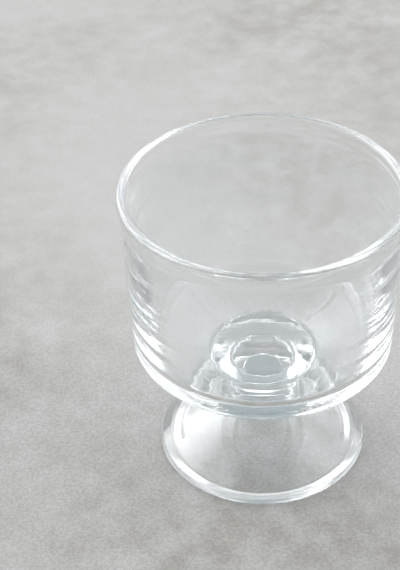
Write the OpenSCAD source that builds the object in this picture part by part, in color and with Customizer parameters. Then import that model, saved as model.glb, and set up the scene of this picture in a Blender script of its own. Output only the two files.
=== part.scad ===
// Footed parfait glass in clear glass: a deep bowl with a thick wall, a short solid stem
// and a hollow foot. The axis is +Z, and the foot's ring stands on z = 0. Millimetres.

/* [Rim] */
// Height of the rim above the table
glass_h = 100; // [92:1:112]
// Outside diameter of the rim
rim_d = 90; // [86:1:96]
// Thickness of the wall at the rim
rim_t = 3.2; // [2.6:0.1:3.8]
// How far the rim's lip stands out past the wall
lip_out = 0.75; // [0.3:0.05:1.2]
// Height of the lip
lip_h = 6; // [4:0.5:9]

/* [Bowl] */
// Diameter at the outer corner between wall and underside
base_d = 82.5; // [80:0.5:86]
// Height of that corner above the table
base_h = 42.5; // [40:0.5:46]
// Radius of the outer corner
base_round = 5; // [3:0.5:8]
// Thickness of the wall below the lip
wall_t = 2.7; // [2.2:0.1:3.4]
// Thickness of the wall beside the cavity's corner, measured level
low_wall_t = 5.2; // [4.4:0.1:9]
// How far the cavity's corner lies above the outer corner
low_wall_h = 3.1; // [2:0.1:5]
// Radius of the cavity's corner
cavity_round = 5.5; // [4:0.5:12]
// How far the floor sinks from the cavity's corner to the axis
floor_drop = 6.4; // [5:0.1:7.6]
// Diameter over which the floor is nearly level
floor_d = 28; // [22:1:34]
// Radius of the dish that leads into the slope of the floor
dish_round = 80; // [40:5:110]

/* [Stem] */
// Diameter where the stem's flare meets the bowl's underside
neck_d = 37; // [32:1:42]
// How far the underside sinks from the outer corner to the flare
neck_drop = 9; // [8:0.25:10.5]
// Radius of the fillet under the bowl
neck_round = 6; // [4:0.5:9]
// Diameter at the corner of the stem's waist
waist_d = 13; // [11:0.5:18]
// Height of the waist above the table
waist_h = 23.2; // [21:0.2:26]
// Radius of the waist's hollow curve
waist_round = 9; // [6:0.5:12]

/* [Foot] */
// Outside diameter of the foot
foot_d = 67; // [62:1:74]
// Thickness of the foot's edge
edge_h = 4; // [3:0.25:5]
// Width of the band from the foot's edge to where its cone starts
band_w = 3.5; // [2:0.5:6]
// Rise of that band
band_rise = 3.6; // [2.4:0.2:4.6]
// Radius of the turn from the band to the cone
shoulder_round = 6; // [3:0.5:9]
// Width of the ring that the glass stands on, with the round of the edge
ring_w = 6.5; // [5:0.5:8]
// Width of the slope inside the ring
ring_slope_w = 3; // [2:0.5:4]
// Height of the slope inside the ring
ring_slope_h = 3; // [2:0.5:4]
// Diameter at the top corner of the hollow
hollow_d = 14; // [9:1:18]
// Height of that corner above the table
hollow_h = 15; // [11:0.5:16]
// Radius of the round at the top of the hollow
hollow_round = 2.2; // [1.4:0.1:5]
// Height of the dome over that corner
hollow_dome_h = 0.5; // [0.25:0.25:1.5]

/* [Hidden] */
// Facets of a full turn in the preview
$fn = 160;
// Degrees of each step along a rounded corner
arc_step = 6;
// Radius of the round inside the ring
ring_round = 1.5;
// Radii of the soft turns of the wall, where the lip starts, outside and inside
lip_round = 40;
throat_round = 60;
// Radius of a full round, as a share of the thickness that it rounds
full_round_share = 0.48;
// Part of the way to the next round that a round may take
half_share = 0.5;
glass_color = [0.84, 0.9, 0.89, 0.45];

// Radii
rim_r = rim_d / 2;
wall_top_r = rim_r - lip_out;
foot_r = foot_d / 2;
band_r = foot_r - band_w;
ring_in_r = foot_r - ring_w;
cavity_r = base_d / 2 - low_wall_t;
// Heights
wall_top_h = glass_h - lip_h;
band_h = edge_h + band_rise;
cavity_h = base_h + low_wall_h;
floor_h = cavity_h - floor_drop;
neck_h = base_h - neck_drop;
// Radii of the fully rounded edges
rim_round = rim_t * full_round_share;
edge_round = edge_h * full_round_share;

// The corners of the outline, each [radius from the axis, height, radius of its round]
floor_middle = [0, floor_h, 0];
floor_turn = [floor_d / 2, floor_h, dish_round];
cavity_corner = [cavity_r, cavity_h, cavity_round];
throat = [wall_top_r - wall_t, wall_top_h, throat_round];
rim_inside = [rim_r - rim_t, glass_h, rim_round];
rim_outside = [rim_r, glass_h, rim_round];
lip_edge = [rim_r, glass_h - rim_t, lip_round];
lip_foot = [wall_top_r, wall_top_h, lip_round];
base_corner = [base_d / 2, base_h, base_round];
neck = [neck_d / 2, neck_h, neck_round];
waist = [waist_d / 2, waist_h, waist_round];
shoulder = [band_r, band_h, shoulder_round];
edge_top = [foot_r, edge_h, edge_round];
edge_bottom = [foot_r, 0, edge_round];
ring_inside = [ring_in_r, 0, ring_round];
ring_top = [ring_in_r - ring_slope_w, ring_slope_h, ring_slope_h];
hollow_corner = [hollow_d / 2, hollow_h, hollow_round];
hollow_top = [0, hollow_h + hollow_dome_h, 0];

// A corner's place without its round
function place(corner) = [corner[0], corner[1]];
// The direction from one corner to another
function towards(from, to) = (place(to) - place(from)) / norm(place(to) - place(from));
// The length along the way to the next corner that a round may take
function room(corner, next) = norm(place(next) - place(corner)) * (next[2] == 0 ? 1 : half_share);
// An angle turned the short way round
function short_way(angle) = angle > 180 ? angle - 360 : angle < -180 ? angle + 360 : angle;

// The points of the arc that rounds a corner between its neighbours
function rounded(before, corner, after) =
    corner[2] == 0 ? [place(corner)] :
    let (
        back = towards(corner, before),
        on = towards(corner, after),
        half = acos(back * on) / 2,
        reach = min(corner[2] / tan(half), room(corner, before), room(corner, after)),
        radius = reach * tan(half),
        middle = place(corner) + (back + on) / norm(back + on) * radius / sin(half),
        first = place(corner) + back * reach - middle,
        last = place(corner) + on * reach - middle,
        start = atan2(first[1], first[0]),
        turn = short_way(atan2(last[1], last[0]) - start),
        steps = max(2, ceil(abs(turn) / arc_step))
    )
    [for (i = [0:steps]) middle + radius * [cos(start + turn * i / steps), sin(start + turn * i / steps)]];

// The points round every corner but the first and the last, which only give the directions
function run(corners) =
    [for (i = [1:len(corners) - 2]) each rounded(corners[i - 1], corners[i], corners[i + 1])];

// The outline's three stretches, which meet where the neck's and the waist's rounds end
bowl_side = run([floor_middle, floor_turn, cavity_corner, throat, rim_inside, rim_outside,
                 lip_edge, lip_foot, base_corner, neck, waist]);
waist_side = run([neck, waist, shoulder]);
foot_side = run([waist, shoulder, edge_top, edge_bottom, ring_inside, ring_top,
                 hollow_corner, hollow_top]);
bowl_end = bowl_side[len(bowl_side) - 1];
stem_end = waist_side[len(waist_side) - 1];

// A solid of revolution about the axis
module turned(points) {
    rotate_extrude() polygon(points);
}

// The bowl, closed below by the flat face that the stem is fused to
module bowl() {
    color(glass_color)
        turned(concat([place(floor_middle)], bowl_side, [[0, bowl_end[1]]]));
}

// The solid stem, from the bowl down through its waist
module stem() {
    color(glass_color)
        turned(concat([[0, bowl_end[1]], bowl_end], waist_side, [[0, stem_end[1]]]));
}

// The foot: a cone with a rounded edge, hollow underneath
module foot() {
    color(glass_color)
        turned(concat([[0, stem_end[1]], stem_end], foot_side, [place(hollow_top)]));
}

bowl();
stem();
foot();
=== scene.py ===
"""A footed parfait glass in clear glass, on a pale stone table under soft studio light.

The glass is three lathed pieces, which stand for the three solids of its construction: the bowl,
the solid stem and the hollow foot. Each has the same corners as its solid, with gentle rings in
the wall that a fire-polished glass keeps from its making. Where two pieces are fused, their faces
let light pass as if the glass went on, so the three look like one body of glass.

Sizes are millimetres in the outlines, as on a maker's drawing, and metres in the meshes.
"""

import logging
import math
from dataclasses import dataclass
from enum import Enum

import bmesh
import bpy
from mathutils import Matrix, Vector


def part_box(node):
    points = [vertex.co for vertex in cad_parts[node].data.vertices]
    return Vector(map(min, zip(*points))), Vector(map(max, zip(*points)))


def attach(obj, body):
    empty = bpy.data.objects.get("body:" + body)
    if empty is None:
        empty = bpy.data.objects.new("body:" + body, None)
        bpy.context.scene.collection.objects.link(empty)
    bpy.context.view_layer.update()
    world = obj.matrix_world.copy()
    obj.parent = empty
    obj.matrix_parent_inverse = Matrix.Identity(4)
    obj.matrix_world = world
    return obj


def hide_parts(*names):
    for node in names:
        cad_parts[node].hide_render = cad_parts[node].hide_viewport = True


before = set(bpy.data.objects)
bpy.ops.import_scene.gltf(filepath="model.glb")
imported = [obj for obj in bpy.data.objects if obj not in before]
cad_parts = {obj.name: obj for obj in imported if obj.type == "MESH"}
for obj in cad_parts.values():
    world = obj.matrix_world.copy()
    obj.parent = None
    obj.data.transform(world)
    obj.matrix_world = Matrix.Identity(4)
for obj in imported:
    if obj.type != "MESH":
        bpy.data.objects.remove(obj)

MM = 0.001
LOG = logging.getLogger("parfait_glass")
PHOTO_WIDTH = 400
PHOTO_HEIGHT = 570

Span = tuple[float, float]
Color = tuple[float, float, float]
Material = bpy.types.Material
Node = bpy.types.Node
Socket = bpy.types.NodeSocket
Tree = bpy.types.NodeTree

BLACK: Color = (0.0, 0.0, 0.0)
WHITE: Color = (1.0, 1.0, 1.0)


class Surface(Enum):
    """What a stretch of an outline is: glass in the open, or the face of a fused joint."""

    POLISHED = 0
    FUSED = 1


class NoiseKind(Enum):
    """The patterns that the mottle group can be built on."""

    CLOUDS = "clouds"
    RINGS = "rings"


@dataclass(frozen=True)
class Corner:
    """A corner of an outline before it is rounded.

    Args:
        radius: Distance from the axis, in millimetres.
        height: Height above the table, in millimetres.
        rounding: Radius of the arc that rounds the corner, in millimetres.
    """

    radius: float
    height: float
    rounding: float = 0.0

    @property
    def place(self) -> Vector:
        """The corner's place in the plane of the outline."""
        return Vector((self.radius, self.height))


@dataclass(frozen=True)
class Stop:
    """A point of a finished outline.

    Args:
        radius: Distance from the axis, in millimetres.
        height: Height above the table, in millimetres.
        along: Length of the outline up to here, in millimetres.
        surface: What the outline is here.
        waviness: Share of the piece's rings that shows here, from 0 to 1.
    """

    radius: float
    height: float
    along: float
    surface: Surface
    waviness: float


@dataclass(frozen=True)
class Rings:
    """The gentle rings that a fire-polished wall keeps from its making.

    Args:
        depth: Depth of the deepest ring, in millimetres.
        pitch: Usual distance between rings along the outline, in millimetres.
        wander: Distance round the glass over which the rings change, in millimetres.
        fade: Length of outline over which they fade in and out, in millimetres.
        seed: Start of the pattern.
    """

    depth: float
    pitch: float
    wander: float
    fade: float
    seed: float


class Outline:
    """Turns corners into the points of a rounded outline, finely enough for clear glass."""

    ARC_STEP = math.radians(2.0)
    FEWEST_ARC_STEPS = 3
    STRAIGHT_STEP = 0.55
    SHORTEST_STEP = STRAIGHT_STEP / 20

    @staticmethod
    def room(corner: Corner, following: Corner) -> float:
        """Gives the length towards the next corner that a rounding may take.

        Args:
            corner: The corner that is rounded.
            following: The corner next to it.

        Returns:
            The whole way to a sharp corner, and half the way to a rounded one.
        """
        way = (following.place - corner.place).length
        return way if following.rounding == 0 else way / 2

    @classmethod
    def arc(cls, before: Corner, corner: Corner, after: Corner) -> list[Vector]:
        """Rounds one corner between its neighbours.

        Args:
            before: The corner before it.
            corner: The corner to round.
            after: The corner after it.

        Returns:
            The points of the tangent arc, or the corner itself if it is sharp.
        """
        if corner.rounding == 0:
            return [corner.place]
        back = (before.place - corner.place).normalized()
        onward = (after.place - corner.place).normalized()
        half = back.angle(onward) / 2
        reach = min(
            corner.rounding / math.tan(half),
            cls.room(corner, before),
            cls.room(corner, after),
        )
        radius = reach * math.tan(half)
        middle = corner.place + (back + onward).normalized() * radius / math.sin(half)
        first = corner.place + back * reach - middle
        last = corner.place + onward * reach - middle
        start = math.atan2(first.y, first.x)
        turn = math.remainder(math.atan2(last.y, last.x) - start, math.tau)
        steps = max(cls.FEWEST_ARC_STEPS, math.ceil(abs(turn) / cls.ARC_STEP))
        angles = (start + turn * i / steps for i in range(steps + 1))
        return [middle + radius * Vector((math.cos(a), math.sin(a))) for a in angles]

    @classmethod
    def run(cls, corners: list[Corner]) -> list[Vector]:
        """Rounds every corner but the first and the last, which only give directions.

        Args:
            corners: The corners in order.

        Returns:
            The points from the second corner to the last but one.
        """
        trios = zip(corners, corners[1:], corners[2:])
        return [point for trio in trios for point in cls.arc(*trio)]

    @classmethod
    def filled(cls, points: list[Vector]) -> list[Vector]:
        """Adds points along the straight stretches, and drops those that coincide.

        Args:
            points: The rounded outline.

        Returns:
            The outline with no gap much longer than the straight step.
        """
        out = [points[0]]
        for point in points[1:]:
            gap = (point - out[-1]).length
            if gap < cls.SHORTEST_STEP:
                continue
            start = out[-1]
            parts = max(1, math.ceil(gap / cls.STRAIGHT_STEP))
            out += [start.lerp(point, (i + 1) / parts) for i in range(parts)]
        return out


def calculated(tree: Tree, operation: str, *values: Socket | float) -> Socket:
    """Adds a Math node.

    Args:
        tree: A tree of shader or geometry nodes.
        operation: What the node works out.
        *values: Sockets or numbers for its inputs, in order.

    Returns:
        Its output.
    """
    node = tree.nodes.new("ShaderNodeMath")
    node.operation = operation
    for socket, value in zip(node.inputs, values):
        if isinstance(value, Socket):
            tree.links.new(value, socket)
        else:
            socket.default_value = value
    return node.outputs["Value"]


def ranged(tree: Tree, source: Socket, given: Span, made: Span, kind: str = "LINEAR") -> Socket:
    """Turns one range of values into another, and keeps to its ends.

    Args:
        tree: A tree of shader nodes.
        source: The values.
        given: Where they start and end.
        made: What the start and the end become.
        kind: How it goes from one to the other.

    Returns:
        The new values.
    """
    node = tree.nodes.new("ShaderNodeMapRange")
    node.interpolation_type = kind
    node.clamp = True
    tree.links.new(source, node.inputs["Value"])
    for name, value in zip(("From Min", "From Max", "To Min", "To Max"), (*given, *made)):
        node.inputs[name].default_value = value
    return node.outputs["Result"]


def graded(tree: Tree, axis: str, places: Span, values: Span) -> Socket:
    """Gives a value that changes evenly along an axis of the object.

    Args:
        tree: A material's tree.
        axis: The axis by name.
        places: Where the change starts and ends, in metres.
        values: The value before the start, and the value past the end.

    Returns:
        The value.
    """
    where = tree.nodes.new("ShaderNodeSeparateXYZ")
    tree.links.new(tree.nodes.new("ShaderNodeTexCoord").outputs["Object"], where.inputs["Vector"])
    return ranged(tree, where.outputs[axis], places, values)


class LatheTree:
    """A Geometry Nodes tree that turns an outline about the axis and lays rings in its wall."""

    ALONG = "along"
    WAVINESS = "waviness"
    FUSED = "fused"
    NAMED = (ALONG, WAVINESS, FUSED)
    FUSED_FROM = 0.99
    MERGE_DISTANCE = 0.002 * MM
    RING_DETAIL = 3.0
    RING_ROUGHNESS = 0.7

    def __init__(self) -> None:
        """Builds the tree, with a named input for each of its sizes."""
        self.tree = bpy.data.node_groups.new("lathe", "GeometryNodeTree")
        self.tree.is_modifier = True
        interface = self.tree.interface
        self.sockets: dict[str, str] = {}
        for name, kind in (
            ("Outline", "NodeSocketGeometry"),
            ("Facets", "NodeSocketInt"),
            ("Ring Depth", "NodeSocketFloat"),
            ("Ring Pitch", "NodeSocketFloat"),
            ("Ring Wander", "NodeSocketFloat"),
            ("Seed", "NodeSocketFloat"),
            ("Glass", "NodeSocketMaterial"),
            ("Joint", "NodeSocketMaterial"),
        ):
            item = interface.new_socket(name, in_out="INPUT", socket_type=kind)
            self.sockets[name] = item.identifier
        interface.new_socket("Mesh", in_out="OUTPUT", socket_type="NodeSocketGeometry")
        self._build()

    def _node(self, kind: str, **settings: object) -> Node:
        """Adds a node and sets its properties.

        Args:
            kind: The node's type.
            **settings: Its properties by name.

        Returns:
            The node.
        """
        node = self.tree.nodes.new(kind)
        for name, value in settings.items():
            setattr(node, name, value)
        return node

    def _join(self, source: Socket, target: Socket) -> None:
        """Links an output to an input.

        Args:
            source: The output.
            target: The input.
        """
        self.tree.links.new(source, target)

    def _math(self, operation: str, *values: Socket | float) -> Socket:
        """Adds a Math node.

        Args:
            operation: What it works out.
            *values: Sockets or numbers for its inputs, in order.

        Returns:
            Its output.
        """
        return calculated(self.tree, operation, *values)

    def _sampled(self, outline: Socket, value: Socket, row: Socket, kind: str) -> Socket:
        """Reads a field of the outline at a row of the lathed grid.

        Args:
            outline: The outline's geometry.
            value: The field.
            row: The index of the outline's point.
            kind: The field's type.

        Returns:
            The value as a field on the grid.
        """
        sample = self._node("GeometryNodeSampleIndex", data_type=kind, domain="POINT")
        self._join(outline, sample.inputs["Geometry"])
        self._join(value, sample.inputs["Value"])
        self._join(row, sample.inputs["Index"])
        return sample.outputs["Value"]

    def _stored(self, geometry: Socket, name: str, value: Socket) -> Socket:
        """Keeps a field on the grid as a named number.

        Args:
            geometry: The grid.
            name: The attribute's name.
            value: The field.

        Returns:
            The grid with the attribute.
        """
        store = self._node("GeometryNodeStoreNamedAttribute", data_type="FLOAT", domain="POINT")
        store.inputs["Name"].default_value = name
        self._join(geometry, store.inputs["Geometry"])
        self._join(value, store.inputs["Value"])
        return store.outputs["Geometry"]

    def _attribute(self, name: str) -> Socket:
        """Reads a named number.

        Args:
            name: The attribute's name.

        Returns:
            The number as a field.
        """
        node = self._node("GeometryNodeInputNamedAttribute", data_type="FLOAT")
        node.inputs["Name"].default_value = name
        return node.outputs["Attribute"]

    def _build(self) -> None:
        """Lays the grid, bends it round the axis, rings it, closes it and dresses it."""
        given = self._node("NodeGroupInput")
        outline = given.outputs["Outline"]
        facets = given.outputs["Facets"]

        size = self._node("GeometryNodeAttributeDomainSize", component="MESH")
        self._join(outline, size.inputs["Geometry"])
        columns = self._math("ADD", facets, 1.0)
        grid = self._node("GeometryNodeMeshGrid")
        self._join(size.outputs["Point Count"], grid.inputs["Vertices X"])
        self._join(columns, grid.inputs["Vertices Y"])

        index = self._node("GeometryNodeInputIndex").outputs["Index"]
        row = self._math("FLOOR", self._math("DIVIDE", self._math("ADD", index, 0.5), columns))
        column = self._math("SUBTRACT", index, self._math("MULTIPLY", row, columns))
        angle = self._math("MULTIPLY", self._math("DIVIDE", column, facets), math.tau)

        position = self._node("GeometryNodeInputPosition").outputs["Position"]
        place = self._node("ShaderNodeSeparateXYZ")
        self._join(self._sampled(outline, position, row, "FLOAT_VECTOR"), place.inputs["Vector"])
        turned = self._node("ShaderNodeCombineXYZ")
        for axis, function in (("X", "COSINE"), ("Y", "SINE")):
            share = self._math(function, angle)
            self._join(self._math("MULTIPLY", place.outputs["X"], share), turned.inputs[axis])
        self._join(place.outputs["Z"], turned.inputs["Z"])

        geometry = grid.outputs["Mesh"]
        for name in self.NAMED:
            value = self._sampled(outline, self._attribute(name), row, "FLOAT")
            geometry = self._stored(geometry, name, value)
        bend = self._node("GeometryNodeSetPosition")
        self._join(geometry, bend.inputs["Geometry"])
        self._join(turned.outputs["Vector"], bend.inputs["Position"])
        merge = self._node("GeometryNodeMergeByDistance")
        merge.inputs["Distance"].default_value = self.MERGE_DISTANCE
        self._join(bend.outputs["Geometry"], merge.inputs["Geometry"])

        rings = self._rings(given, merge.outputs["Geometry"])
        fused = self._attribute(self.FUSED)
        smooth = self._node("GeometryNodeSetShadeSmooth", domain="FACE")
        self._join(rings, smooth.inputs["Geometry"])
        self._join(self._math("LESS_THAN", fused, self.FUSED_FROM), smooth.inputs["Shade Smooth"])
        real = self._node("GeometryNodeRealizeInstances")
        self._join(smooth.outputs["Geometry"], real.inputs["Geometry"])
        glass = self._node("GeometryNodeSetMaterial")
        self._join(real.outputs["Geometry"], glass.inputs["Geometry"])
        self._join(given.outputs["Glass"], glass.inputs["Material"])
        joint = self._node("GeometryNodeSetMaterial")
        self._join(glass.outputs["Geometry"], joint.inputs["Geometry"])
        self._join(self._math("GREATER_THAN", fused, self.FUSED_FROM), joint.inputs["Selection"])
        self._join(given.outputs["Joint"], joint.inputs["Material"])
        self._join(joint.outputs["Geometry"], self._node("NodeGroupOutput").inputs["Mesh"])

    def _rings(self, given: Node, geometry: Socket) -> Socket:
        """Presses shallow rings into the surface, always inwards.

        Args:
            given: The tree's input node.
            geometry: The closed lathed mesh.

        Returns:
            The ringed mesh.
        """
        where = self._node("ShaderNodeSeparateXYZ")
        self._join(self._node("GeometryNodeInputPosition").outputs["Position"], where.inputs["Vector"])
        pattern = self._node("ShaderNodeCombineXYZ")
        wander = given.outputs["Ring Wander"]
        for axis in ("X", "Y"):
            self._join(self._math("DIVIDE", where.outputs[axis], wander), pattern.inputs[axis])
        turns = self._math("DIVIDE", self._attribute(self.ALONG), given.outputs["Ring Pitch"])
        self._join(turns, pattern.inputs["Z"])
        noise = self._node("ShaderNodeTexNoise", noise_dimensions="4D")
        self._join(pattern.outputs["Vector"], noise.inputs["Vector"])
        self._join(given.outputs["Seed"], noise.inputs["W"])
        noise.inputs["Scale"].default_value = 1.0
        noise.inputs["Detail"].default_value = self.RING_DETAIL
        noise.inputs["Roughness"].default_value = self.RING_ROUGHNESS
        share = self._math("MULTIPLY", noise.outputs["Fac"], self._attribute(self.WAVINESS))
        inwards = self._math("MULTIPLY", given.outputs["Ring Depth"], -1.0)
        push = self._node("ShaderNodeVectorMath", operation="SCALE")
        self._join(self._node("GeometryNodeInputNormal").outputs["Normal"], push.inputs[0])
        self._join(self._math("MULTIPLY", share, inwards), push.inputs["Scale"])
        shift = self._node("GeometryNodeSetPosition")
        self._join(geometry, shift.inputs["Geometry"])
        self._join(push.outputs["Vector"], shift.inputs["Offset"])
        return shift.outputs["Geometry"]


class Mottle:
    """A shader node group that gives a soft mask and a colour between two, over the surface."""

    EDGES: Span = (0.35, 0.65)
    LEVEL_STRETCH = (0.15, 0.15, 1.0)

    def __init__(self, kind: NoiseKind) -> None:
        """Builds the group.

        Args:
            kind: Clouds alike in all directions, or rings drawn out level round the axis.
        """
        self.group = bpy.data.node_groups.new(f"mottle_{kind.value}", "ShaderNodeTree")
        interface = self.group.interface
        for name, way, kept in (
            ("Scale", "INPUT", "NodeSocketFloat"),
            ("Detail", "INPUT", "NodeSocketFloat"),
            ("Low Color", "INPUT", "NodeSocketColor"),
            ("High Color", "INPUT", "NodeSocketColor"),
            ("Mask", "OUTPUT", "NodeSocketFloat"),
            ("Color", "OUTPUT", "NodeSocketColor"),
        ):
            interface.new_socket(name, in_out=way, socket_type=kept)
        nodes, links = self.group.nodes, self.group.links
        given = nodes.new("NodeGroupInput")
        made = nodes.new("NodeGroupOutput")
        where = nodes.new("ShaderNodeTexCoord")
        stretch = nodes.new("ShaderNodeMapping")
        if kind is NoiseKind.RINGS:
            stretch.inputs["Scale"].default_value = self.LEVEL_STRETCH
        noise = nodes.new("ShaderNodeTexNoise")
        mask = ranged(self.group, noise.outputs["Fac"], self.EDGES, (0.0, 1.0))
        blend = nodes.new("ShaderNodeMix")
        blend.data_type = "RGBA"
        links.new(where.outputs["Object"], stretch.inputs["Vector"])
        links.new(stretch.outputs["Vector"], noise.inputs["Vector"])
        links.new(given.outputs["Scale"], noise.inputs["Scale"])
        links.new(given.outputs["Detail"], noise.inputs["Detail"])
        links.new(mask, made.inputs["Mask"])
        links.new(mask, blend.inputs["Factor"])
        links.new(given.outputs["Low Color"], blend.inputs["A"])
        links.new(given.outputs["High Color"], blend.inputs["B"])
        links.new(blend.outputs["Result"], made.inputs["Color"])

    def place(
        self, material: Material, scale: float, detail: float, low: Color = BLACK, high: Color = WHITE
    ) -> Node:
        """Places the group in a material.

        Args:
            material: The material that uses it.
            scale: How many patches there are to a metre.
            detail: Octaves of finer patches.
            low: The colour where the mask is 0.
            high: The colour where the mask is 1.

        Returns:
            The group's node.
        """
        node = material.node_tree.nodes.new("ShaderNodeGroup")
        node.node_tree = self.group
        node.inputs["Scale"].default_value = scale
        node.inputs["Detail"].default_value = detail
        node.inputs["Low Color"].default_value = (*low, 1.0)
        node.inputs["High Color"].default_value = (*high, 1.0)
        return node


@dataclass(frozen=True)
class ClearGlass:
    """Clear pressed glass, fire-polished, with a cool tint that shows where light has gone far in it.

    Args:
        ior: Index of refraction of soda-lime glass.
        thick_tint: The tint where the melt is least clear.
        thin_tint: The tint elsewhere.
        deep_tint: The tint after a long way through the glass.
        deep_start: The way through the glass from which that tint comes in, in metres.
        deep_end: The way at which it is full, in metres.
        shade: Share of the light that a wall keeps out of its shadow.
        smear_scale: How many smears there are to a metre.
        smear_detail: Octaves of finer smears.
        smear_roughness: Roughness of a smear.
        melt_detail: Octaves of finer changes in the melt.
        wave_scale: How many waves there are to a metre.
        wave_detail: Octaves of finer waves.
        wave_depth: Depth of the waves, in metres.
        wear_height: Height above the table up to which the foot's ring is worn dull, in metres.
        wear_roughness: Roughness of the worn ring.
    """

    ior: float = 1.52
    thick_tint: Color = (0.97, 0.988, 0.994)
    thin_tint: Color = (0.991, 0.998, 1.0)
    deep_tint: Color = (0.42, 0.56, 0.62)
    deep_start: float = 0.007
    deep_end: float = 0.03
    shade: float = 0.38
    smear_scale: float = 60.0
    smear_detail: float = 5.0
    smear_roughness: float = 0.012
    melt_detail: float = 3.0
    wave_scale: float = 320.0
    wave_detail: float = 2.0
    wave_depth: float = 0.000008
    wear_height: float = 0.0003
    wear_roughness: float = 0.15

    def material(self, clouds: Mottle, rings: Mottle) -> Material:
        """Builds the finish.

        Args:
            clouds: The mottle group with even patches.
            rings: The mottle group with level rings.

        Returns:
            The material.
        """
        made = bpy.data.materials.new("clear_glass")
        made.use_nodes = True
        nodes, links = made.node_tree.nodes, made.node_tree.links
        shader = nodes["Principled BSDF"]
        shader.inputs["IOR"].default_value = self.ior
        shader.inputs["Transmission Weight"].default_value = 1.0
        shader.inputs["Metallic"].default_value = 0.0
        path = nodes.new("ShaderNodeLightPath")
        links.new(self._tint(made, rings, path), shader.inputs["Base Color"])
        links.new(self._cover(made, path), shader.inputs["Alpha"])
        links.new(self._dulled(made, clouds), shader.inputs["Roughness"])
        wave = rings.place(made, self.wave_scale, self.wave_detail)
        bump = nodes.new("ShaderNodeBump")
        bump.inputs["Strength"].default_value = 1.0
        bump.inputs["Distance"].default_value = self.wave_depth
        links.new(wave.outputs["Mask"], bump.inputs["Height"])
        links.new(bump.outputs["Normal"], shader.inputs["Normal"])
        return made

    def _tint(self, made: Material, rings: Mottle, path: Node) -> Socket:
        """Tints the glass, and more so where light leaves it after a long way inside.

        Args:
            made: The material.
            rings: The mottle group with level rings.
            path: Its Light Path node.

        Returns:
            The colour.
        """
        tree = made.node_tree
        melt = rings.place(made, self.smear_scale, self.melt_detail, self.thick_tint, self.thin_tint)
        leaving = tree.nodes.new("ShaderNodeNewGeometry").outputs["Backfacing"]
        inside = calculated(tree, "MULTIPLY", path.outputs["Ray Length"], leaving)
        depth = ranged(tree, inside, (self.deep_start, self.deep_end), (0.0, 1.0))
        blend = tree.nodes.new("ShaderNodeMix")
        blend.data_type = "RGBA"
        blend.inputs["B"].default_value = (*self.deep_tint, 1.0)
        tree.links.new(depth, blend.inputs["Factor"])
        tree.links.new(melt.outputs["Color"], blend.inputs["A"])
        return blend.outputs["Result"]

    def _dulled(self, made: Material, clouds: Mottle) -> Socket:
        """Dulls the glass a little where it is smeared, and more on the ring that it stands on.

        Args:
            made: The material.
            clouds: The mottle group with even patches.

        Returns:
            The roughness.
        """
        tree = made.node_tree
        smear = clouds.place(made, self.smear_scale, self.smear_detail).outputs["Mask"]
        rough = calculated(tree, "MULTIPLY", smear, self.smear_roughness)
        worn = graded(tree, "Z", (0.0, self.wear_height), (self.wear_roughness, 0.0))
        return calculated(tree, "MAXIMUM", rough, worn)

    def _cover(self, made: Material, path: Node) -> Socket:
        """Lets a part of the light straight through into the shadow, as the bright glass does.

        Args:
            made: The material.
            path: Its Light Path node.

        Returns:
            How much the glass covers: all of it, but for shadows.
        """
        shadow = path.outputs["Is Shadow Ray"]
        return calculated(made.node_tree, "MULTIPLY_ADD", shadow, self.shade - 1.0, 1.0)


@dataclass(frozen=True)
class FusedJoint:
    """The face between two fused pieces, where the glass goes on and nothing shows.

    Args:
        tint: Its colour, which leaves the light as it is.
    """

    tint: Color = WHITE

    def material(self) -> Material:
        """Builds the finish: a face that lets all light pass unturned.

        Returns:
            The material.
        """
        made = bpy.data.materials.new("fused_joint")
        made.use_nodes = True
        shader = made.node_tree.nodes["Principled BSDF"]
        shader.inputs["Base Color"].default_value = (*self.tint, 1.0)
        shader.inputs["Alpha"].default_value = 0.0
        shader.inputs["Specular IOR Level"].default_value = 0.0
        return made


@dataclass(frozen=True)
class Patches:
    """Patches of one size in the table's stone.

    Args:
        scale: How many there are to a metre.
        detail: Octaves of finer patches in them.
        darkest: What the stone's colour is multiplied by in the darkest.
    """

    scale: float
    detail: float
    darkest: Color


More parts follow.
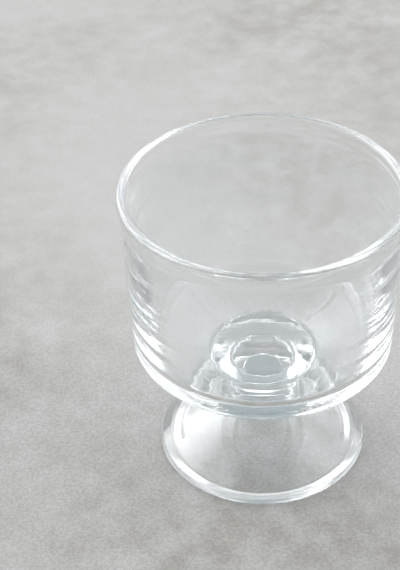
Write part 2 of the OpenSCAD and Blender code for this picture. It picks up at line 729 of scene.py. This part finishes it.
@dataclass(frozen=True)
class PaleStone:
    """The table: pale grey stone with warm smudges in places and a fine sandy grain.

    Args:
        color: The stone between its patches.
        smudges: Its broad warm smudges.
        flecks: The smaller patches in them.
        grain: The sandy grain.
        area_scale: How many areas with more or fewer smudges there are to a metre.
        area_detail: Octaves of finer areas.
        worn_from: How far behind the glass the grain starts to be worn away, in metres.
        worn_to: How far behind it the grain is worn the most, in metres.
        worn_grain: Share of the grain that is left there.
        roughness: How dull it is.
        sheen: How strongly it mirrors.
    """

    color: Color = (0.53, 0.526, 0.515)
    smudges: Patches = Patches(30.0, 6.0, (0.82, 0.8, 0.775))
    flecks: Patches = Patches(110.0, 5.0, (0.82, 0.805, 0.785))
    grain: Patches = Patches(1100.0, 3.0, (0.79, 0.79, 0.79))
    area_scale: float = 5.0
    area_detail: float = 1.0
    worn_from: float = 0.02
    worn_to: float = 0.1
    worn_grain: float = 0.35
    roughness: float = 0.75
    sheen: float = 0.2

    def material(self, clouds: Mottle) -> Material:
        """Builds the finish.

        Args:
            clouds: The mottle group with even patches.

        Returns:
            The material.
        """
        made = bpy.data.materials.new("pale_stone")
        made.use_nodes = True
        links = made.node_tree.links
        shader = made.node_tree.nodes["Principled BSDF"]
        shader.inputs["Roughness"].default_value = self.roughness
        shader.inputs["Specular IOR Level"].default_value = self.sheen
        area = clouds.place(made, self.area_scale, self.area_detail)
        grain = self._patched(made, clouds, self.grain)
        grain.inputs["A"].default_value = (*self.color, 1.0)
        left = graded(made.node_tree, "Y", (self.worn_from, self.worn_to), (1.0, self.worn_grain))
        links.new(left, grain.inputs["Factor"])
        flecks = self._patched(made, clouds, self.flecks)
        smudges = self._patched(made, clouds, self.smudges)
        for below, above in ((grain, flecks), (flecks, smudges)):
            links.new(below.outputs["Result"], above.inputs["A"])
            links.new(area.outputs["Mask"], above.inputs["Factor"])
        links.new(smudges.outputs["Result"], shader.inputs["Base Color"])
        return made

    @staticmethod
    def _patched(made: Material, clouds: Mottle, patches: Patches) -> Node:
        """Multiplies the colour below by patches of one size.

        Args:
            made: The material.
            clouds: The mottle group with even patches.
            patches: The patches.

        Returns:
            The node, which takes the colour below at A.
        """
        patch = clouds.place(made, patches.scale, patches.detail, patches.darkest)
        blend = made.node_tree.nodes.new("ShaderNodeMix")
        blend.data_type = "RGBA"
        blend.blend_type = "MULTIPLY"
        blend.inputs["Factor"].default_value = 1.0
        made.node_tree.links.new(patch.outputs["Color"], blend.inputs["B"])
        return blend


@dataclass(frozen=True)
class Finishes:
    """The materials that the pieces wear.

    Args:
        glass: The clear glass.
        joint: The face of a fused joint.
    """

    glass: Material
    joint: Material


def laid(points: list[Vector], rings: Rings, wavy: Span, fused: set[int]) -> list[Stop]:
    """Turns the points of an outline into its stops.

    Args:
        points: The whole outline, from axis to axis.
        rings: The rings in the wall, for their fade.
        wavy: The lowest and highest height at which rings show, in millimetres.
        fused: The indices of the points on the face of a fused joint.

    Returns:
        The stops.
    """
    stops: list[Stop] = []
    along = 0.0
    for i, point in enumerate(points):
        along += (point - points[i - 1]).length if i else 0.0
        inside = min(point.y - wavy[0], wavy[1] - point.y) / rings.fade
        waviness = 0.0 if i in fused else min(1.0, max(0.0, inside))
        surface = Surface.FUSED if i in fused else Surface.POLISHED
        stops.append(Stop(max(0.0, point.x), point.y, along, surface, waviness))
    return stops


@dataclass
class Glassware:
    """The corners that the three pieces share, in millimetres; the rim's height and radius and the
    foot's radius are worked out from the frame, the rest are given.

    Args:
        glass_h: Height of the rim above the table.
        rim_r: Radius of the rim.
        foot_r: Radius of the foot.
        rim_t: Thickness of the wall at the rim.
        lip_out: How far the rim's lip stands out past the wall.
        lip_h: Height of the lip.
        lip_round: Radius of the soft turns where the lip starts, outside.
        base_r: Radius at the outer corner between wall and underside.
        base_h: Height of that corner.
        base_round: Radius of its round.
        wall_t: Thickness of the wall below the lip.
        floor_h: Height of the cavity's floor.
        floor_r: Radius over which the floor is nearly level.
        dish_round: Radius of the dish that leads into the slope of the floor.
        cavity_r: Radius at the cavity's corner.
        floor_rise: How far that corner lies above the floor.
        cavity_round: Radius of its round.
        throat_round: Radius of the soft turn inside, where the lip starts.
        neck_r: Radius where the stem's flare meets the bowl's underside.
        neck_h: Height of that corner.
        neck_round: Radius of the fillet under the bowl.
        waist_r: Radius at the corner of the waist.
        waist_h: Height of that corner.
        waist_round: Radius of the waist's hollow curve.
        band_w: Width of the band from the foot's edge to where its cone starts.
        edge_h: Thickness of the foot's edge.
        band_rise: Rise of the band.
        shoulder_round: Radius of the turn from the band to the cone.
        ring_w: Width of the ring that the glass stands on.
        ring_round: Radius of the round inside the ring.
        ring_slope: Width and height of the slope inside the ring.
        hollow_r: Radius at the top corner of the hollow.
        hollow_h: Height of that corner.
        hollow_round: Radius of the round there.
        hollow_dome_h: Height of the dome over that corner.
        full_round_share: Radius of a full round, as a share of the thickness that it rounds.
    """

    glass_h: float
    rim_r: float
    foot_r: float
    rim_t: float = 3.2
    lip_out: float = 0.75
    lip_h: float = 6.0
    lip_round: float = 40.0
    base_r: float = 41.25
    base_h: float = 42.5
    base_round: float = 5.0
    wall_t: float = 2.7
    floor_h: float = 39.2
    floor_r: float = 14.0
    dish_round: float = 80.0
    cavity_r: float = 36.05
    floor_rise: float = 6.4
    cavity_round: float = 5.5
    throat_round: float = 60.0
    neck_r: float = 18.5
    neck_h: float = 33.5
    neck_round: float = 6.0
    waist_r: float = 6.5
    waist_h: float = 23.2
    waist_round: float = 9.0
    band_w: float = 3.5
    edge_h: float = 4.0
    band_rise: float = 3.6
    shoulder_round: float = 6.0
    ring_w: float = 6.5
    ring_round: float = 1.5
    ring_slope: float = 3.0
    hollow_r: float = 7.0
    hollow_h: float = 15.0
    hollow_round: float = 2.2
    hollow_dome_h: float = 0.5
    full_round_share: float = 0.48

    def bowl_corners(self) -> list[Corner]:
        """Gives the bowl's corners, from the middle of its floor over the rim to the waist."""
        wall_top_r = self.rim_r - self.lip_out
        wall_top_h = self.glass_h - self.lip_h
        rim_round = self.rim_t * self.full_round_share
        return [
            Corner(0.0, self.floor_h),
            Corner(self.floor_r, self.floor_h, self.dish_round),
            Corner(self.cavity_r, self.floor_h + self.floor_rise, self.cavity_round),
            Corner(wall_top_r - self.wall_t, wall_top_h, self.throat_round),
            Corner(self.rim_r - self.rim_t, self.glass_h, rim_round),
            Corner(self.rim_r, self.glass_h, rim_round),
            Corner(self.rim_r, self.glass_h - self.rim_t, self.lip_round),
            Corner(wall_top_r, wall_top_h, self.lip_round),
            Corner(self.base_r, self.base_h, self.base_round),
            self.neck,
            self.waist,
        ]

    @property
    def neck(self) -> Corner:
        """The corner where the stem flares into the bowl's underside."""
        return Corner(self.neck_r, self.neck_h, self.neck_round)

    @property
    def waist(self) -> Corner:
        """The corner at the stem's waist."""
        return Corner(self.waist_r, self.waist_h, self.waist_round)

    @property
    def shoulder(self) -> Corner:
        """The corner where the foot's cone meets the band at its edge."""
        return Corner(self.foot_r - self.band_w, self.edge_h + self.band_rise, self.shoulder_round)

    def stem_corners(self) -> list[Corner]:
        """Gives the corners that the stem's side is drawn through."""
        return [self.neck, self.waist, self.shoulder]

    def foot_corners(self) -> list[Corner]:
        """Gives the foot's corners, from the waist round the edge to the top of the hollow."""
        edge_round = self.edge_h * self.full_round_share
        ring_in_r = self.foot_r - self.ring_w
        return [
            self.waist,
            self.shoulder,
            Corner(self.foot_r, self.edge_h, edge_round),
            Corner(self.foot_r, 0.0, edge_round),
            Corner(ring_in_r, 0.0, self.ring_round),
            Corner(ring_in_r - self.ring_slope, self.ring_slope, self.ring_slope),
            Corner(self.hollow_r, self.hollow_h, self.hollow_round),
            Corner(0.0, self.hollow_h + self.hollow_dome_h),
        ]


@dataclass
class LathedPiece:
    """A closed piece of glass turned about the axis, which stands for one solid.

    Args:
        glass: The shared corners.
        rings: The rings in its wall.
    """

    FACETS = 192
    NODE = ""

    glass: Glassware
    rings: Rings

    def stops(self) -> list[Stop]:
        """Gives the closed outline, from axis to axis."""
        raise NotImplementedError

    def _outline_object(self) -> bpy.types.Object:
        """Lays the outline as a line of vertices with its named numbers.

        Returns:
            The line.
        """
        stops = self.stops()
        mesh = bpy.data.meshes.new(f"{self.NODE}_outline")
        places = [(stop.radius * MM, 0.0, stop.height * MM) for stop in stops]
        edges = [(i, i + 1) for i in range(len(places) - 1)]
        mesh.from_pydata(places, edges, [])
        for name, values in (
            (LatheTree.ALONG, [stop.along * MM for stop in stops]),
            (LatheTree.WAVINESS, [stop.waviness for stop in stops]),
            (LatheTree.FUSED, [float(stop.surface.value) for stop in stops]),
        ):
            attribute = mesh.attributes.new(name, "FLOAT", "POINT")
            attribute.data.foreach_set("value", values)
        made = bpy.data.objects.new(f"{self.NODE}_outline", mesh)
        bpy.context.scene.collection.objects.link(made)
        return made

    def build(self, lathe: LatheTree, finishes: Finishes) -> bpy.types.Object:
        """Turns the outline, keeps the result as a plain mesh and puts it in the solid's place.

        Args:
            lathe: The tree that turns it.
            finishes: The materials that it wears.

        Returns:
            The finished piece.
        """
        outline = self._outline_object()
        modifier = outline.modifiers.new("lathe", "NODES")
        modifier.node_group = lathe.tree
        for name, value in (
            ("Facets", self.FACETS),
            ("Ring Depth", self.rings.depth * MM),
            ("Ring Pitch", self.rings.pitch * MM),
            ("Ring Wander", self.rings.wander * MM),
            ("Seed", self.rings.seed),
            ("Glass", finishes.glass),
            ("Joint", finishes.joint),
        ):
            modifier[lathe.sockets[name]] = value
        depsgraph = bpy.context.evaluated_depsgraph_get()
        mesh = bpy.data.meshes.new_from_object(outline.evaluated_get(depsgraph))
        mesh.name = f"{self.NODE}_glass"
        outline.modifiers.remove(modifier)
        bpy.data.objects.remove(outline)
        for name in LatheTree.NAMED:
            mesh.attributes.remove(mesh.attributes[name])
        self._turn_out(mesh)
        piece = bpy.data.objects.new(f"{self.NODE}_glass", mesh)
        bpy.context.scene.collection.objects.link(piece)
        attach(piece, "root")
        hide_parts(self.NODE)
        LOG.info("%s: %d vertices, %d faces", piece.name, len(mesh.vertices), len(mesh.polygons))
        return piece

    @staticmethod
    def _turn_out(mesh: bpy.types.Mesh) -> None:
        """Turns every face outwards, if the lathe left them inwards.

        Args:
            mesh: The closed mesh.
        """
        shape = bmesh.new()
        shape.from_mesh(mesh)
        if shape.calc_volume(signed=True) < 0:
            bmesh.ops.reverse_faces(shape, faces=shape.faces)
            shape.to_mesh(mesh)
        shape.free()


@dataclass
class Bowl(LathedPiece):
    """The deep bowl, from its cavity over the rim to the face that the stem is fused to."""

    NODE = "bowl"

    rings: Rings = Rings(depth=0.035, pitch=2.0, wander=12.0, fade=6.0, seed=3.7)

    def stops(self) -> list[Stop]:
        """Gives the closed outline from the middle of the floor to the middle of the joint."""
        side = Outline.run(self.glass.bowl_corners())
        middle = Vector((0.0, self.glass.floor_h))
        end = side[-1]
        points = Outline.filled([middle, *side])
        first_fused = len(points) - 1
        points += Outline.filled([end, Vector((0.0, end.y))])[1:]
        wavy = (self.glass.base_h, self.glass.glass_h - self.glass.rim_t / 2)
        return laid(points, self.rings, wavy, set(range(first_fused, len(points))))


@dataclass
class Stem(LathedPiece):
    """The short solid stem, between the faces that it shares with bowl and foot."""

    NODE = "stem"

    rings: Rings = Rings(depth=0.01, pitch=4.0, wander=30.0, fade=3.0, seed=8.1)

    def stops(self) -> list[Stop]:
        """Gives the closed outline from the middle of the upper joint to that of the lower."""
        top = Outline.run(self.glass.bowl_corners())[-1]
        side = Outline.run(self.glass.stem_corners())
        bottom = side[-1]
        head = Outline.filled([Vector((0.0, top.y)), top])
        body = Outline.filled([top, *side])
        base = Outline.filled([bottom, Vector((0.0, bottom.y))])
        points = head + body[1:] + base[1:]
        lower_edge = len(head) + len(body) - 2
        fused = {*range(len(head)), *range(lower_edge, len(points))}
        return laid(points, self.rings, (bottom.y, top.y), fused)


@dataclass
class Foot(LathedPiece):
    """The spreading foot, hollow underneath, on its rounded ring."""

    NODE = "foot"

    rings: Rings = Rings(depth=0.02, pitch=4.0, wander=40.0, fade=4.0, seed=5.2)

    def stops(self) -> list[Stop]:
        """Gives the closed outline from the middle of the joint to the top of the hollow."""
        side = Outline.run(self.glass.foot_corners())
        start = Outline.run(self.glass.stem_corners())[-1]
        head = Outline.filled([Vector((0.0, start.y)), start])
        top = Vector((0.0, self.glass.hollow_h + self.glass.hollow_dome_h))
        points = head + Outline.filled([start, *side, top])[1:]
        wavy = (self.glass.ring_slope, start.y)
        return laid(points, self.rings, wavy, set(range(len(head))))


@dataclass(frozen=True)
class Glow:
    """A soft light of the studio: a round glow that fades out at its edge.

    Args:
        bearing: Direction that it stands in, in degrees, from the right over the back.
        rise: How far it stands above the table's level, in degrees.
        core: Radius of its even middle, in degrees.
        fade: Width of its soft edge, in degrees.
        radiance: How bright its middle looks, where 1 is white.
    """

    bearing: float
    rise: float
    core: float
    fade: float
    radiance: float

    @property
    def direction(self) -> Vector:
        """The direction from the glass to its middle."""
        bearing, rise = math.radians(self.bearing), math.radians(self.rise)
        level = math.cos(rise)
        return Vector((level * math.cos(bearing), level * math.sin(bearing), math.sin(rise)))


class Surround:
    """The light from all round: a level that changes evenly with the height, and glows in it."""

    def __init__(self, low: float, high: float, color: Color) -> None:
        """Sets up the world.

        Args:
            low: Brightness at the table's level.
            high: Brightness overhead.
            color: Its colour.
        """
        self.world = bpy.data.worlds.new("studio")
        self.world.use_nodes = True
        self.tree = self.world.node_tree
        self.background = self.tree.nodes["Background"]
        self.background.inputs["Color"].default_value = (*color, 1.0)
        self.where = self.tree.nodes.new("ShaderNodeTexCoord").outputs["Generated"]
        parts = self.tree.nodes.new("ShaderNodeSeparateXYZ")
        self.tree.links.new(self.where, parts.inputs["Vector"])
        self.level = ranged(self.tree, parts.outputs["Z"], (0.0, 1.0), (low, high))

    def add(self, glow: Glow) -> None:
        """Adds a glow to it.

        Args:
            glow: The glow.
        """
        facing = self.tree.nodes.new("ShaderNodeVectorMath")
        facing.operation = "DOT_PRODUCT"
        facing.inputs[1].default_value = glow.direction
        self.tree.links.new(self.where, facing.inputs[0])
        edge = math.cos(math.radians(glow.core + glow.fade))
        core = math.cos(math.radians(glow.core))
        brightness = (0.0, glow.radiance)
        light = ranged(self.tree, facing.outputs["Value"], (edge, core), brightness, "SMOOTHSTEP")
        self.level = calculated(self.tree, "ADD", self.level, light)

    def finish(self) -> bpy.types.World:
        """Gives the world its light.

        Returns:
            The world.
        """
        self.tree.links.new(self.level, self.background.inputs["Strength"])
        return self.world


@dataclass
class Studio:
    """The table, the light and the camera.

    Args:
        scale: The rim's radius in metres, which the camera's distance is given in.
        sky_low: Brightness of the surroundings at the table's level.
        sky_high: Their brightness overhead.
        bounces: How often light may turn inside the glass before it is given up.
        sky_color: Their colour.
        table_size: Side of the table, in metres.
        table_parts: How many squares there are along that side.
        table_drop: How far the table lies under the foot's ring, in metres.
        distance: The camera's distance.
        elevation: How steeply the camera looks down, in radians.
        roll: Its turn about its own line of sight, in radians.
        aim_height: The height that it looks at.
        focal_pixels: Its focal length, in pixels of the photograph.
        centre_pixel: Where the axis of its view lies across the photograph.
        sensor: Width of its sensor, in millimetres.
        glows: The soft lights.
    """

    scale: float
    sky_low: float = 0.85
    sky_high: float = 0.2
    bounces: int = 32
    sky_color: Color = (0.97, 0.985, 1.0)
    table_size: float = 8.0
    table_parts: int = 8
    table_drop: float = 0.0002
    distance: float = 13.2778
    elevation: float = 0.6446
    roll: float = 0.0059
    aim_height: float = 1.4143
    focal_pixels: float = 1900.0
    centre_pixel: float = 263.2
    sensor: float = 36.0
    glows: tuple[Glow, ...] = (
        Glow(152.0, 25.0, 12.0, 27.0, 4.1),
        Glow(30.0, 32.0, 16.0, 26.0, 1.0),
        Glow(350.0, 38.0, 10.0, 22.0, 1.2),
        Glow(205.0, 40.0, 8.0, 18.0, 1.5),
        Glow(88.0, 38.0, 8.0, 16.0, 1.6),
    )

    def build_table(self, stone: Material) -> bpy.types.Object:
        """Lays the table just under the foot's ring.

        Args:
            stone: Its finish.

        Returns:
            The table.
        """
        shape = bmesh.new()
        parts = self.table_parts
        bmesh.ops.create_grid(shape, x_segments=parts, y_segments=parts, size=self.table_size / 2)
        bmesh.ops.translate(shape, verts=shape.verts, vec=(0.0, 0.0, -self.table_drop))
        mesh = bpy.data.meshes.new("table_top")
        shape.to_mesh(mesh)
        shape.free()
        made = bpy.data.objects.new("table_top", mesh)
        bpy.context.scene.collection.objects.link(made)
        made.data.materials.append(stone)
        return made

    def build_light(self) -> None:
        """Sets up the soft light from all round."""
        surround = Surround(self.sky_low, self.sky_high, self.sky_color)
        for glow in self.glows:
            surround.add(glow)
        bpy.context.scene.world = surround.finish()

    def build_camera(self) -> bpy.types.Object:
        """Sets the camera where the photograph was taken from.

        Returns:
            The camera.
        """
        lens = bpy.data.cameras.new("camera")
        made = bpy.data.objects.new("camera", lens)
        bpy.context.scene.collection.objects.link(made)
        back = self.distance * self.scale
        place = Vector((0.0, -back * math.cos(self.elevation), back * math.sin(self.elevation)))
        place.z += self.aim_height * self.scale
        tilt = Matrix.Rotation(math.pi / 2 - self.elevation, 4, "X")
        made.matrix_world = Matrix.Translation(place) @ tilt @ Matrix.Rotation(self.roll, 4, "Z")
        lens.sensor_width = self.sensor
        lens.lens = self.focal_pixels * self.sensor / PHOTO_HEIGHT
        lens.shift_x = -(self.centre_pixel - PHOTO_WIDTH / 2) / PHOTO_HEIGHT
        bpy.context.scene.camera = made
        return made


def main() -> None:
    """Builds the glass, the table, the light and the camera."""
    logging.basicConfig(level=logging.INFO, format="%(name)s %(message)s")
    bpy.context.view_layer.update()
    bowl_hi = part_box("bowl")[1]
    foot_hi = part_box("foot")[1]
    glass = Glassware(glass_h=bowl_hi.z / MM, rim_r=bowl_hi.x / MM, foot_r=foot_hi.x / MM)
    clouds = Mottle(NoiseKind.CLOUDS)
    rings = Mottle(NoiseKind.RINGS)
    finishes = Finishes(glass=ClearGlass().material(clouds, rings), joint=FusedJoint().material())
    lathe = LatheTree()
    for part in (Bowl(glass), Stem(glass), Foot(glass)):
        part.build(lathe, finishes)

    studio = Studio(scale=bowl_hi.x)
    studio.build_table(PaleStone().material(clouds))
    studio.build_light()
    studio.build_camera()

    scene = bpy.context.scene
    scene.view_settings.view_transform = "Standard"
    for limit in ("max_bounces", "transmission_bounces", "glossy_bounces", "transparent_max_bounces"):
        setattr(scene.cycles, limit, studio.bounces)


if __name__ == "__main__":
    main()
